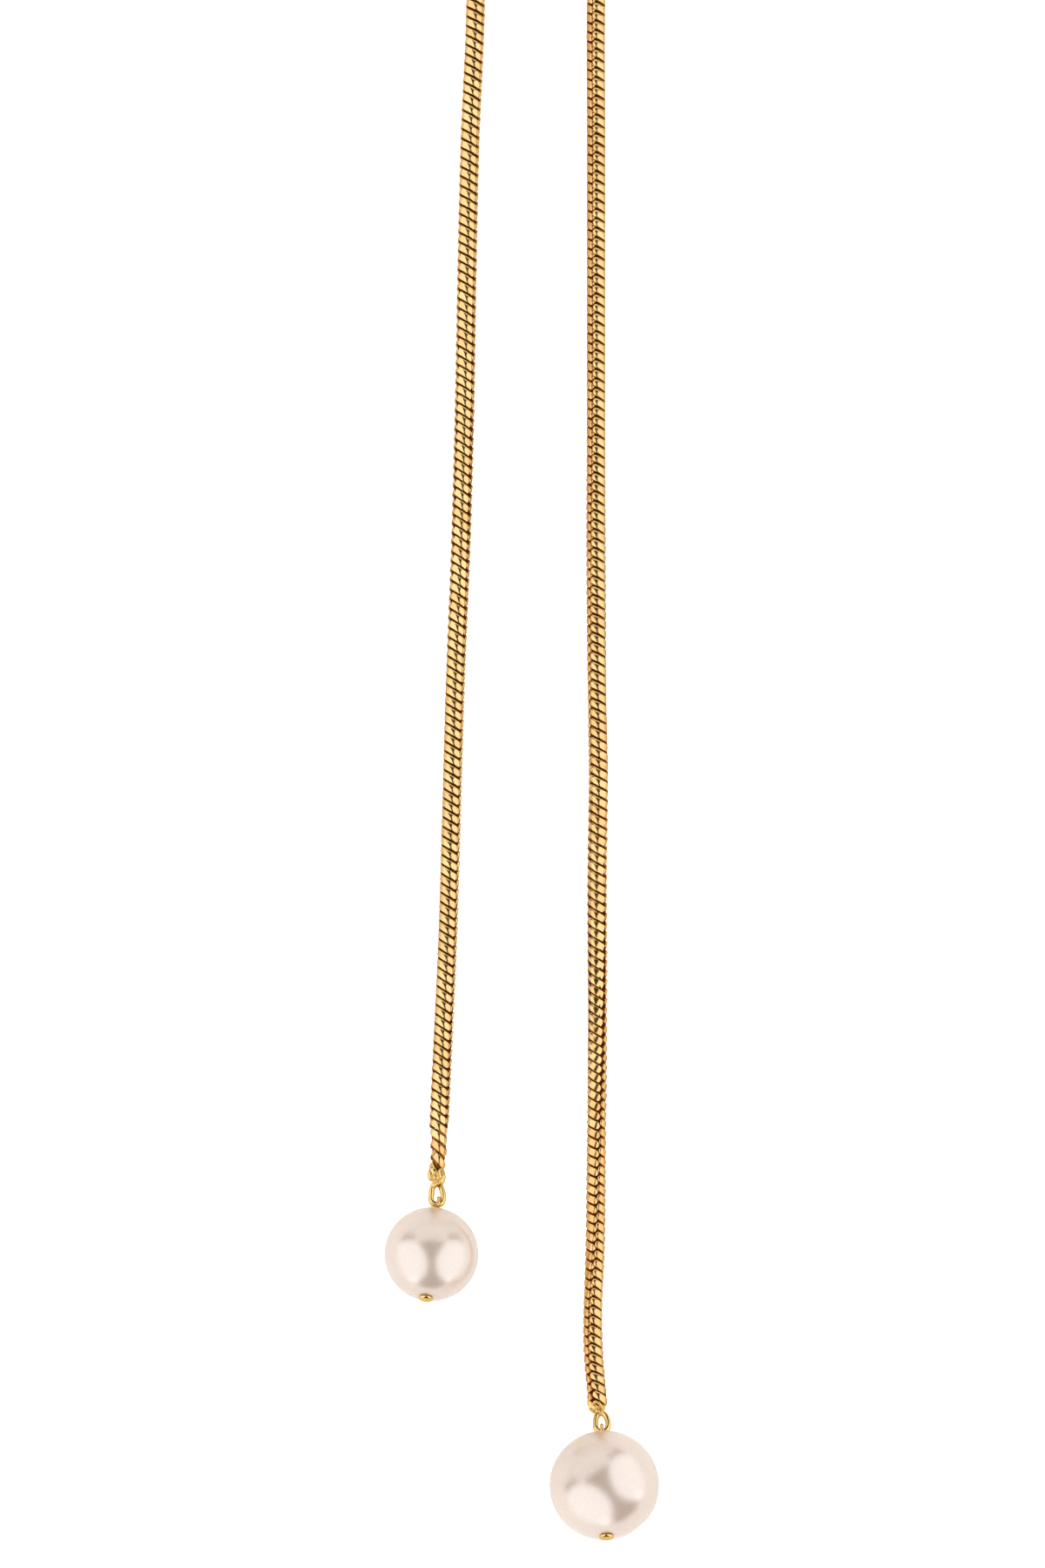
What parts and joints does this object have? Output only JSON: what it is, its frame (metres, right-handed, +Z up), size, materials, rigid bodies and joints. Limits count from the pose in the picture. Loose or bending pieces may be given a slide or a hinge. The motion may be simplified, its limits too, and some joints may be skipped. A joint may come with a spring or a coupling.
{
  "type": "pearl pendant necklace",
  "caption": "Open-ended round snake chain with an imitation pearl drop on each free end, lying with its neck loop open.",
  "frame": {"origin": "on the surface that the necklace lies on, under the middle of its bounding box", "axes": "+Y from the pearls towards the neck loop, +Z up from the surface, +X to the right as seen from above with the pearls nearest"},
  "size_m": [0.195, 0.4366, 0.014],
  "materials": {
    "gold_plate": "polished yellow gold-tone plating",
    "pearl_coat": "ivory pearly coating over a glass core"
  },
  "bodies": {
    "root": {"snake_chain": "gold_plate", "small_end_cap": "gold_plate", "small_jump_ring": "gold_plate", "small_head_pin": "gold_plate", "small_pearl": "pearl_coat", "large_end_cap": "gold_plate", "large_jump_ring": "gold_plate", "large_head_pin": "gold_plate", "large_pearl": "pearl_coat"}
  },
  "joints": []
}
